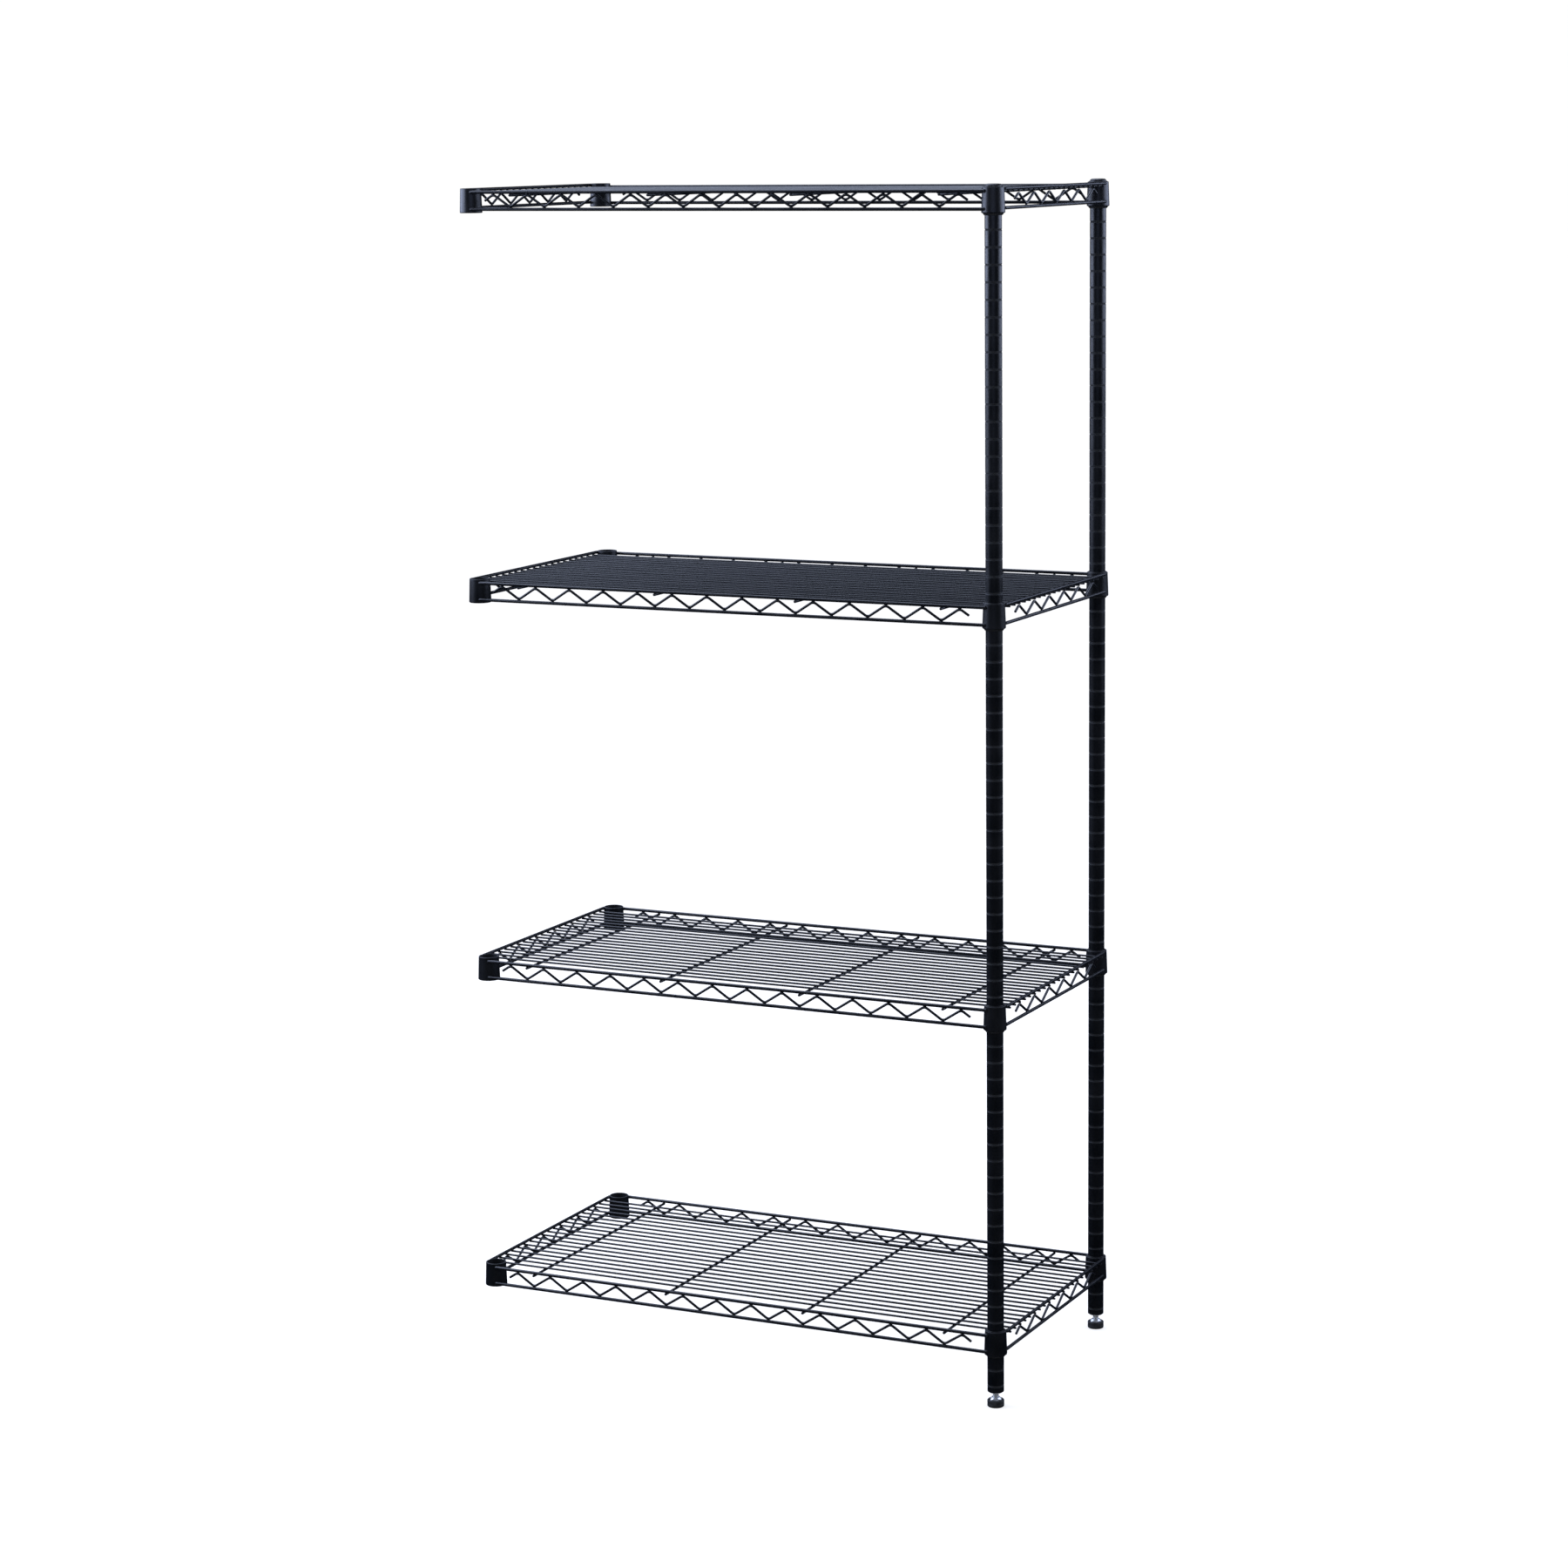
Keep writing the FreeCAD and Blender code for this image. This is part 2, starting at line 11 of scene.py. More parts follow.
import bpy
import numpy as np
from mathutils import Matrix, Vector


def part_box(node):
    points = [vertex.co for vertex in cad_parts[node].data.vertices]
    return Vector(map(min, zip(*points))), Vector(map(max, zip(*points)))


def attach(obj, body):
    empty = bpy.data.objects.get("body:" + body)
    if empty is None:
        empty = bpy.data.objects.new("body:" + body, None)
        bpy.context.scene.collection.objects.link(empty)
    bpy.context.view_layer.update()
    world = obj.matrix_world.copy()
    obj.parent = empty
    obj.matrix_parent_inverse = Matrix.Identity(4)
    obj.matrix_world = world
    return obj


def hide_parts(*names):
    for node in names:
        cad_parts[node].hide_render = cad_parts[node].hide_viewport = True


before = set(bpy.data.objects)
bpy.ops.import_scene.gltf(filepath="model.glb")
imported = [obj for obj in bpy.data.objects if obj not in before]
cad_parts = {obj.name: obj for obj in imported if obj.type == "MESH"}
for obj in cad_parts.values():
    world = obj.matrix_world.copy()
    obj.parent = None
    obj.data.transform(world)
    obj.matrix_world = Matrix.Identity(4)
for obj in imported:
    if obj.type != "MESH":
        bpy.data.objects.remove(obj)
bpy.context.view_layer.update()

# %% [markdown]
# ## Reading sizes from the CAD
# Every later step works in millimetres, the unit that a metal shop uses, and the meshes are
# turned to metres as they are made. A node's box says where its piece stands, so nothing here
# has to be measured again.

# %% Boxes in millimetres
MM = 0.001


def box_mm(node):
    """Lowest and highest corner of a CAD node, as two arrays of three millimetre numbers."""
    low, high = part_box(node)
    return np.array(low) / MM, np.array(high) / MM


def middle_mm(node):
    """The middle of a CAD node's box, in millimetres."""
    low, high = box_mm(node)
    return (low + high) / 2


SIDES = {"front": -1, "rear": 1}
ENDS = {"left": -1, "right": 1}
LEVELS = (1, 2, 3, 4)

POST_XY = {side: middle_mm(f"post_{side}")[:2] for side in SIDES}
COLLAR_X, COLLAR_Y = abs(POST_XY["rear"])
COLLAR_TOP = {level: box_mm(f"collar_front_left_{level}")[1][2] for level in LEVELS}
print("posts at x", COLLAR_X, "y", COLLAR_Y, "collar tops", COLLAR_TOP)

# %% [markdown]
# ## Surfaces as grids
# A turned ring, a bent wire and a thread look very different, but each is one sheet of points
# laid out in rows and columns. One small class holds such a sheet and knows which of its edges
# meet, so that seams are shared points and open ends get a lid. Everything else in the lesson
# only has to say where the points are.

# %% A grid of points and its faces


class Grid:
    """Points in rows and columns, with quads between neighbours.

    The quads face along (step to the next column) x (step to the next row). Each row can carry a
    number from 0 to 1 that makes its paint lighter and duller: wear, and in the posts' grooves a
    painted highlight line.
    """

    def __init__(self, points, wrap_rows=False, wrap_columns=False, lids=None, wear_and_painted_sheen=0.0):
        self.points = np.asarray(points, float)
        rows, columns = self.points.shape[:2]
        self.wear_and_painted_sheen = np.repeat(np.broadcast_to(wear_and_painted_sheen, rows), columns)
        self.wrap_rows = wrap_rows
        self.wrap_columns = wrap_columns
        self.lids = lids

    def faces(self):
        """Quads as an array of four indices, then the lids as longer faces."""
        rows, columns = self.points.shape[:2]
        index = np.arange(rows * columns).reshape(rows, columns)
        plain = index
        if self.wrap_rows:
            index = np.vstack([index, index[:1]])
        if self.wrap_columns:
            index = np.hstack([index, index[:, :1]])
        quads = np.stack([index[:-1, :-1], index[:-1, 1:], index[1:, 1:], index[1:, :-1]], axis=-1)
        lids = []
        if self.lids == "rows":
            lids = [plain[0][::-1], plain[-1]]
        elif self.lids == "columns":
            lids = [plain[:, 0], plain[:, -1][::-1]]
        return quads.reshape(-1, 4), lids


made = {}


def make_piece(name, grids, material, body, replaced):
    """Put grids into one mesh object, paint it, hang it on its body and hide the CAD nodes."""
    points, faces, wear_and_painted_sheen, first = [], [], [], 0
    for grid in grids:
        quads, lids = grid.faces()
        faces += (quads + first).tolist()
        faces += [(lid + first).tolist() for lid in lids]
        flat = grid.points.reshape(-1, 3)
        points.append(flat)
        wear_and_painted_sheen.append(grid.wear_and_painted_sheen)
        first += len(flat)
    mesh = bpy.data.meshes.new(name)
    mesh.from_pydata((np.vstack(points) * MM).tolist(), [], faces)
    mesh.polygons.foreach_set("use_smooth", np.ones(len(faces), bool))
    # A per-point number that lightens and dulls the paint: wear, and a painted highlight line in
    # the posts' grooves.
    wear_and_painted_sheen_layer = mesh.attributes.new("wear_and_painted_sheen", "FLOAT", "POINT")
    wear_and_painted_sheen_layer.data.foreach_set("value", np.concatenate(wear_and_painted_sheen).astype(np.float32))
    mesh.materials.append(material)
    mesh.update()
    piece = bpy.data.objects.new(name, mesh)
    bpy.context.scene.collection.objects.link(piece)
    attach(piece, body)
    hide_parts(*replaced)
    made[name] = sum(len(face) - 2 for face in faces)
    return piece


# %% [markdown]
# ## Outlines with rolled edges
# No real edge is sharp: paint flows round it and dies leave a radius, and that thin curved band
# is what catches the light. An outline is written as corners with a radius each, and this
# function swaps each corner for an arc. It also drops a point just inside both ends of every
# straight run. Smooth shading blends normals between neighbouring points, and those extra
# points keep the blend in the arc, so the flat runs stay flat.

# %% Round the corners of an outline


def unit(vector):
    """The vector at length one."""
    return vector / np.linalg.norm(vector)


def rounded(corners, closed=True, steps=5, hold=0.35):
    """Swap each (across, up, radius) corner for an arc.

    The arc's centre is on the corner's bisector, at radius / sin(half the corner's angle), and
    it touches each side at radius / tan(half the corner's angle).
    """
    places = np.array([corner[:2] for corner in corners], float)
    arcs = []
    for i, (here, radius) in enumerate(zip(places, [corner[2] for corner in corners])):
        if radius <= 0:
            arcs.append(here[None])
            continue
        back = unit(places[i - 1] - here)
        ahead = unit(places[(i + 1) % len(places)] - here)
        half = 0.5 * math.acos(np.clip(back @ ahead, -1, 1))
        centre = here + unit(back + ahead) * radius / math.sin(half)
        reach = radius / math.tan(half)
        start, end = here + back * reach - centre, here + ahead * reach - centre
        turn = math.atan2(start[0] * end[1] - start[1] * end[0], start @ end)
        angle = math.atan2(start[1], start[0]) + turn * np.linspace(0, 1, steps + 1)
        arcs.append(centre + radius * np.stack([np.cos(angle), np.sin(angle)], axis=1))
    outline = []
    for i, arc in enumerate(arcs):
        outline.append(arc)
        if closed or i < len(arcs) - 1:
            end, start = arc[-1], arcs[(i + 1) % len(arcs)][0]
            run = np.linalg.norm(start - end)
            if run > 3 * hold:
                inward = (start - end) * (hold / run)
                outline.append(np.array([end + inward, start - inward]))
    return np.vstack(outline)


# %% [markdown]
# ## Turning
# Posts, collars, caps, plugs and shoes are all round, as if made on a lathe. A lathe turns one
# outline about an axis, and so does this function. Part of a turn makes the split sleeves.

# %% Turn an outline about a vertical axis


def turned(outline, centre, segments=64, closed=True, start=0.0, sweep=math.tau, wear_and_painted_sheen=0.0):
    """x = centre x + r cos(angle), y = centre y + r sin(angle), z from the outline."""
    full = sweep > math.tau - 1e-6
    angle = start + sweep * np.arange(segments + (not full)) / segments
    radius, height = outline[:, :1], outline[:, 1:]
    x = centre[0] + radius * np.cos(angle)
    y = centre[1] + radius * np.sin(angle)
    points = np.stack([x, y, height + 0 * x], axis=-1)
    lids = "columns" if not full else None if closed else "rows"
    return Grid(points, wrap_rows=closed, wrap_columns=full, lids=lids, wear_and_painted_sheen=wear_and_painted_sheen)


# %% [markdown]
# ## Wire
# A wire is a ring carried along a path. All the wires here are bent in one plane at most, so one
# fixed vector across that plane and the path's own direction are enough to hold the ring square
# to the path without any twist. Cut ends are not hemispheres: shears leave a flat face, and
# tumbling and paint round its rim.

# %% Carry a ring along a path
TIP_RUBBED = 0.7


def wire(path, radius, across, sides=12, end_round=0.45):
    """Ring points = path + radius (across cos a + (direction x across) sin a).

    At both ends the ring shrinks over a quarter circle of end_round times the radius.
    """
    path = np.asarray(path, float)
    across = np.asarray(across, float)
    run = np.diff(path, axis=0)
    run /= np.linalg.norm(run, axis=1, keepdims=True)
    direction = np.vstack([run[:1], run[:-1] + run[1:], run[-1:]])
    direction /= np.linalg.norm(direction, axis=1, keepdims=True)
    bevel = end_round * radius
    turn = np.radians([90, 65, 40, 18])
    inset, shrink = bevel * (1 - np.sin(turn)), bevel * (1 - np.cos(turn))
    first = path[0] + direction[0] * inset[:, None]
    last = (path[-1] - direction[-1] * inset[:, None])[::-1]
    path = np.vstack([first, path[0] + direction[0] * bevel, path[1:-1],
                      path[-1] - direction[-1] * bevel, last])
    direction = np.vstack([direction[:1]] * 4 + [direction] + [direction[-1:]] * 4)
    radii = np.concatenate([radius - shrink, np.full(len(path) - 8, radius), radius - shrink[::-1]])
    angle = math.tau * np.arange(sides) / sides
    up = np.cross(direction, across)
    ring = across * np.cos(angle)[None, :, None] + up[:, None] * np.sin(angle)[None, :, None]
    tips = TIP_RUBBED * (radii < 0.999 * radius)
    return Grid(path[:, None] + radii[:, None, None] * ring, wrap_columns=True, lids="rows",
                wear_and_painted_sheen=tips)


def straight(start, end, radius, across):
    """A straight wire from start to end, with a few rows to hold its shading flat."""
    start, end = np.asarray(start, float), np.asarray(end, float)
    share = np.array([0, 1.2 * radius, 0, 0]) / np.linalg.norm(end - start)
    share[2:] = 1 - share[1], 1
    return wire(start + share[:, None] * (end - start), radius, across)


# %% [markdown]
# ## Weld nuggets
# The wires are resistance welded: two electrodes squeeze a crossing and the current melts the
# touching metal, which leaves a small flattened bulge in the corner between the wires. A squashed
# ball at each crossing gives that bulge, and with hundreds of them each has only a few faces.

# %% A squashed ball for each weld
POLE = 0.07 * math.pi


def nuggets(centres, size, rings=5, segments=8):
    """Squashed balls: centre + size * (sin p cos a, sin p sin a, cos p), p from pole to pole.

    The rings stop at the angle POLE short of each pole, where a lid closes the ball.
    """
    polar = np.linspace(math.pi - POLE, POLE, rings)[:, None]
    angle = math.tau * np.arange(segments) / segments
    ball = np.stack([np.sin(polar) * np.cos(angle), np.sin(polar) * np.sin(angle),
                     np.cos(polar) + 0 * angle], axis=-1)
    return [Grid(centre + ball * size, wrap_columns=True, lids="rows") for centre in centres]


# %% [markdown]
# ## Materials
# One helper turns the hex colours of a paint chart to Blender's linear numbers, and one adds a
# shader node with its settings and links. The finishes are built from those two.

# %% Colour and node helpers


def colour(hex_code):
    """A six-digit sRGB hex colour as linear red, green, blue and alpha one.

    Each part is ((c + 0.055) / 1.055) ** 2.4, or c / 12.92 where it is very dark.
    """
    parts = [int(hex_code[i:i + 2], 16) / 255 for i in (0, 2, 4)]
    return tuple(((c + 0.055) / 1.055) ** 2.4 if c > 0.04045 else c / 12.92 for c in parts) + (1.0,)


def node(material, kind, settings=None, **links):
    """Add a shader node; settings are its properties or input values, links its input sockets."""
    tree = material.node_tree
    new = tree.nodes.new(kind)
    for key, value in (settings or {}).items():
        if hasattr(new, key):
            setattr(new, key, value)
        else:
            new.inputs[key].default_value = value
    for key, source in links.items():
        tree.links.new(source, new.inputs[key.replace("_", " ")])
    return new


def empty_material(name):
    """A material with an output node and nothing else."""
    material = bpy.data.materials.new(name)
    material.use_nodes = True
    material.node_tree.nodes.clear()
    return material


def finish_material(material, shader):
    """Plug a shader into the material's output."""
    output = node(material, "ShaderNodeOutputMaterial")
    material.node_tree.links.new(shader.outputs["BSDF"], output.inputs["Surface"])
    return material


def noise(material, size_mm, detail=2.0, roughness=0.5):
    """Noise on Object coordinates whose features are about size_mm across."""
    place = node(material, "ShaderNodeTexCoord")
    settings = {"Scale": 1 / (size_mm * MM), "Detail": detail, "Roughness": roughness}
    return node(material, "ShaderNodeTexNoise", settings, Vector=place.outputs["Object"])


def spread(material, source, low, high):
    """Stretch a texture's middle range to run from low to high."""
    settings = {"From Min": 0.3, "From Max": 0.7, "To Min": low, "To Max": high}
    return node(material, "ShaderNodeMapRange", settings, Value=source.outputs["Fac"])


def blend_colours(material, source, low, high):
    """Mix two hex colours by a texture."""
    settings = {"data_type": "RGBA"}
    mix = node(material, "ShaderNodeMix", settings)
    mix.inputs[6].default_value = colour(low)
    mix.inputs[7].default_value = colour(high)
    ranged = spread(material, source, 0.0, 1.0)
    material.node_tree.links.new(ranged.outputs["Result"], mix.inputs[0])
    return mix.outputs[2]


# %% [markdown]
# ### Black epoxy powder coat
# Charged powder is sprayed on the bare wire and baked until it melts into one skin. It has no
# flakes and no clear coat. What the eye gets is a blue-black colour, a satin gloss and a faint
# orange peel, because the melt sets before it has levelled out. The peel is 1 to 2 mm across and
# a few hundredths deep. A slower variation in roughness stands for handling and dust. Edges that
# sleeves are slid over are worn greyer and much duller. The posts' grooves are much duller too,
# and are painted lighter as a painted highlight line along each groove. The meshes carry both as
# one number on each point.

# %% Powder coat


def powder_coat(name, low, high, roughness, peel_mm):
    """Blue-black epoxy: two dark colours, a rough range and an orange peel bump."""
    material = empty_material(name)
    dust = noise(material, 38.0, detail=4.0)
    peel = noise(material, peel_mm, detail=1.5)
    grain = noise(material, 0.7, detail=1.0)
    wear_and_painted_sheen = node(material, "ShaderNodeAttribute", {"attribute_name": "wear_and_painted_sheen"})
    rough = spread(material, dust, roughness - 0.05, roughness + 0.06)
    duller = node(material, "ShaderNodeMath", {"operation": "MULTIPLY_ADD"})
    duller.inputs[1].default_value = 0.4
    material.node_tree.links.new(wear_and_painted_sheen.outputs["Fac"], duller.inputs[0])
    material.node_tree.links.new(rough.outputs["Result"], duller.inputs[2])
    # Lighter grey where the per-point number is high: worn edges and tips, and in the posts'
    # grooves a painted highlight line.
    groove_painted_sheen_and_wear = node(material, "ShaderNodeMix", {"data_type": "RGBA"})
    groove_painted_sheen_and_wear.inputs[7].default_value = colour("14191f")
    material.node_tree.links.new(wear_and_painted_sheen.outputs["Fac"], groove_painted_sheen_and_wear.inputs[0])
    material.node_tree.links.new(blend_colours(material, dust, low, high), groove_painted_sheen_and_wear.inputs[6])
    fine = node(material, "ShaderNodeBump", {"Strength": 0.18, "Distance": 0.00006},
                Height=grain.outputs["Fac"])
    bump = node(material, "ShaderNodeBump", {"Strength": 0.35, "Distance": 0.0002},
                Height=peel.outputs["Fac"], Normal=fine.outputs["Normal"])
    shader = node(material, "ShaderNodeBsdfPrincipled", {"IOR": 1.52, "Metallic": 0.0},
                  Base_Color=groove_painted_sheen_and_wear.outputs[2], Roughness=duller.outputs["Value"],
                  Normal=bump.outputs["Normal"])
    return finish_material(material, shader)


POST_COAT = powder_coat("powder_coat_on_tube", "02050a", "070b12", 0.34, 2.0)
WIRE_COAT = powder_coat("powder_coat_on_wire", "02050a", "080c13", 0.36, 1.6)
COLLAR_COAT = powder_coat("powder_coat_on_collar", "03060b", "090d14", 0.38, 2.4)

# %% [markdown]
# ### Moulded plastics and rubber
# The cap and the sleeves are moulded in black polyethylene: softer in gloss than the paint, and
# matt where the mould was spark eroded. The foot's shoe is a harder black rubber with a chalky
# bloom that makes it slightly grey.

# %% Plastic and rubber


def moulded(name, low, high, roughness, grit_mm, depth, ior):
    """A dark moulded skin: grit from the mould as bump, with a little colour variation."""
    material = empty_material(name)
    cloud = noise(material, 9.0, detail=3.0)
    grit = noise(material, grit_mm, detail=2.0)
    rough = spread(material, cloud, roughness - 0.04, roughness + 0.06)
    bump = node(material, "ShaderNodeBump", {"Strength": 0.4, "Distance": depth},
                Height=grit.outputs["Fac"])
    shader = node(material, "ShaderNodeBsdfPrincipled", {"IOR": ior, "Metallic": 0.0},
                  Base_Color=blend_colours(material, cloud, low, high),
                  Roughness=rough.outputs["Result"], Normal=bump.outputs["Normal"])
    return finish_material(material, shader)


CAP_PLASTIC = moulded("polyethylene_cap", "0d0e11", "16181c", 0.42, 0.5, 0.00005, 1.51)
SLEEVE_PLASTIC = moulded("polyethylene_sleeve", "0e0f11", "181a1e", 0.50, 0.6, 0.00005, 1.51)
SHOE_RUBBER = moulded("rubber_shoe", "14161a", "22252a", 0.62, 0.8, 0.0001, 1.52)

# %% [markdown]
# ### Bright zinc plate
# The foot's stem, its hexagon and the threaded plug are steel with a bright zinc plate. Zinc is
# a slightly blue grey metal. Its mirror is broken by fine rings that the cutting tool left, so
# highlights spread out. With age it grows a thin white bloom that scatters light, so it is drawn
# as not quite a pure metal.

# %% Zinc plate


def zinc_plate(name):
    """Bright metal with clouded roughness and tool marks running round the turned faces."""
    material = empty_material(name)
    cloud = noise(material, 5.0, detail=4.0)
    marks = node(material, "ShaderNodeTexWave",
                 {"wave_type": "BANDS", "bands_direction": "Z", "Scale": 320.0, "Distortion": 1.5,
                  "Detail": 2.0},
                 Vector=node(material, "ShaderNodeTexCoord").outputs["Object"])
    rough = spread(material, cloud, 0.26, 0.42)
    bump = node(material, "ShaderNodeBump", {"Strength": 0.12, "Distance": 0.00005},
                Height=marks.outputs["Fac"])
    shader = node(material, "ShaderNodeBsdfPrincipled", {"Metallic": 0.75},
                  Base_Color=blend_colours(material, cloud, "c2c6ca", "dfe2e3"),
                  Roughness=rough.outputs["Result"], Normal=bump.outputs["Normal"])
    return finish_material(material, shader)


ZINC = zinc_plate("bright_zinc_plate")
print("materials:", [m.name for m in bpy.data.materials])

# %% [markdown]
# ## The posts
# Each post is a one inch tube with a groove rolled into it at every inch of height, which is
# where the sleeves lock. A roller presses a soft-sided channel, so the groove here is a cosine
# dip and not a cut slot: that is why it shows as a thin line of light and shade. The groove's
# paint is also painted lighter, a painted highlight line, and drawn duller. The wall is a
# closed outline, up the outside with all its dips and down the inside.

# %% Turn the grooved tubes
TUBE_WALL = 1.2
GROOVE_PITCH = 25.4
GROOVE_FIRST = 9.8
GROOVE_DEPTH = 0.6
GROOVE_HALF = 0.9


def post_outline(bottom, top, radius):
    """Outer wall r = radius - depth (1 + cos(pi s)) / 2, where s runs -1 to 1 over a groove.

    Returns the outline and a number for each point: wear at the foot, and in each groove a painted
    highlight line with duller paint.
    """
    count = int((top - bottom - GROOVE_FIRST) // GROOVE_PITCH) + 1
    middles = bottom + GROOVE_FIRST + GROOVE_PITCH * np.arange(count)
    share = np.array([-2.4, -1.7, -1.0, -0.75, -0.5, -0.25, 0.0, 0.25, 0.5, 0.75, 1.0, 1.7, 2.4])
    dip = GROOVE_DEPTH * (1 + np.cos(math.pi * np.clip(share, -1, 1))) / 2
    height = (middles[:, None] + share * GROOVE_HALF).ravel()
    wall = np.stack([np.tile(radius - dip, count), height], axis=1)
    inner = radius - TUBE_WALL
    foot = [(inner, bottom + 0.3), (inner + 0.3, bottom), (radius - 0.5, bottom),
            (radius - 0.15, bottom + 0.15), (radius, bottom + 0.5)]
    head = [(radius, top - 0.4), (radius - 0.15, top - 0.1), (radius - 0.4, top),
            (inner + 0.2, top), (inner, top - 0.2)]
    # Full number across each groove: its paint is drawn duller and painted lighter, a painted
    # highlight line.
    groove_painted_sheen_and_wear = np.array([0.0, 0.8, 1.0, 1.0, 1.0, 1.0, 1.0, 1.0, 1.0, 1.0, 1.0, 0.8, 0.0])
    wear_and_painted_sheen = np.concatenate([np.full(len(foot), 0.4), np.tile(groove_painted_sheen_and_wear, count), np.zeros(len(head))])
    return np.vstack([foot, wall, head]), wear_and_painted_sheen


for side in SIDES:
    low, high = box_mm(f"post_{side}")
    outline, wear_and_painted_sheen = post_outline(low[2], high[2], (high[0] - low[0]) / 2)
    make_piece(f"grooved_post_{side}", [turned(outline, POST_XY[side], 56, wear_and_painted_sheen=wear_and_painted_sheen)],
               POST_COAT, "posts", [f"post_{side}"])
print("post triangles:", made["grooved_post_front"])

# %% [markdown]
# ## Caps
# A moulded plug closes each tube. Only its head shows: a short cylinder, a bevel and a slightly
# crowned top. The outline starts and ends on the axis, where a lid closes the small ring.

# %% Turn the caps
CAP_HEAD = 3.0


def cap_outline(low, high, radius):
    """From the axis out under the plug, up its skirt, round the head and back to the axis."""
    shoulder = high - CAP_HEAD
    skirt = radius - TUBE_WALL - 0.05
    corners = [(0.05, low, 0), (skirt - 1.2, low, 0), (skirt, low + 1.5, 0), (skirt, shoulder, 0),
               (radius - 0.05, shoulder, 0.2), (radius, shoulder + 0.9, 0.3),
               (radius - 2.3, high - 0.35, 0.9), (radius - 6.0, high - 0.05, 3.0), (0.05, high, 0)]
    return rounded(corners, closed=False)


for side in SIDES:
    low, high = box_mm(f"post_cap_{side}")
    outline = cap_outline(low[2], high[2], (high[0] - low[0]) / 2)
    make_piece(f"post_cap_moulded_{side}", [turned(outline, POST_XY[side], 56, closed=False)],
               CAP_PLASTIC, "posts", [f"post_cap_{side}"])

# %% [markdown]
# ## Split sleeves
# Two tapered half shells snap round the post at each shelf. A bead inside sits in a groove, and
# the shelf's collar wedges down over the outside. Little of them shows: a rim above the collar,
# the two slits, and the bevelled skirt below it. They are turned through a bit less than half a
# circle each, so the slits are real.

# %% Turn the half shells
SLIT_ANGLE = math.radians(5.0)
POST_RADIUS = 12.7
SLEEVE_GAP = 0.06
SLEEVE_TOP_R = 14.36
SLEEVE_BOTTOM_R = 15.79
BEAD_DOWN = 12.0
BEAD_HIGH = 0.35


def sleeve_outline(low, high, post_radius):
    """Outside taper from the skirt to the rim, then down the bore with its locking bead."""
    bore = post_radius + SLEEVE_GAP
    bead = high - BEAD_DOWN
    tip = post_radius - BEAD_HIGH
    return rounded([
        (bore, low, 0.1), (bore + 1.0, low, 0.3), (SLEEVE_BOTTOM_R, low + 3.0, 0.5),
        (SLEEVE_TOP_R, high, 0.35), (bore, high, 0.1), (bore, bead + 0.6, 0),
        (tip, bead + 0.25, 0), (tip, bead - 0.25, 0), (bore, bead - 0.6, 0)], steps=3)


for side in SIDES:
    for level in LEVELS:
        name = f"split_sleeves_{side}_{level}"
        low, high = box_mm(name)
        outline = sleeve_outline(low[2], high[2], POST_RADIUS)
        halves = [turned(outline, POST_XY[side], 26, start=begin + SLIT_ANGLE / 2,
                         sweep=math.pi - SLIT_ANGLE) for begin in (0.0, math.pi)]
        make_piece(f"sleeve_pair_{side}_{level}", halves, SLEEVE_PLASTIC,
                   "posts", [name])
print("sleeve triangles:", made["sleeve_pair_front_1"])

# %% [markdown]
# ## Levelling feet
# A plug with a thread closes the tube's lower end, a stem screws into it, and a hexagon on the
# stem turns in a round shoe. The stem's thread is a height map on a cylinder: the crest winds
# up one pitch in each turn, so height and angle together say how far along the thread a point
# is. The hexagon is cut by a cone at its top, which leaves the curved facets of a real nut.

# %% Threaded plug
STEM_RADIUS = 4.7
THREAD_PITCH = 1.5875
THREAD_DEPTH = 0.85
PLUG_RIM_R = 10.7

for side in SIDES:
    low, high = box_mm(f"foot_insert_{side}")
    rim, body_radius = PLUG_RIM_R, (high[0] - low[0]) / 2
    corners = [(STEM_RADIUS + 0.35, low[2] + 0.3, 0), (STEM_RADIUS + 0.8, low[2], 0.2),
               (rim, low[2], 0.4), (rim, low[2] + 1.5, 0.1), (body_radius, low[2] + 1.5, 0),
               (body_radius, high[2] - 0.6, 0), (body_radius - 0.6, high[2], 0),
               (STEM_RADIUS + 0.08, high[2], 0), (STEM_RADIUS + 0.08, low[2] + 0.6, 0)]
    make_piece(f"foot_plug_{side}", [turned(rounded(corners), POST_XY[side], 48)],
               ZINC, "posts", [f"foot_insert_{side}"])

# %% Hexagon and thread
HEX_FLAT = 8.66
HEX_CORNER = 10.0
HEX_HEIGHT = 4.6
CHAMFER_R = 9.1
CHAMFER_SLOPE = 1.6
CONE_HEIGHT = 3.9
CONE_TOP = 6.5


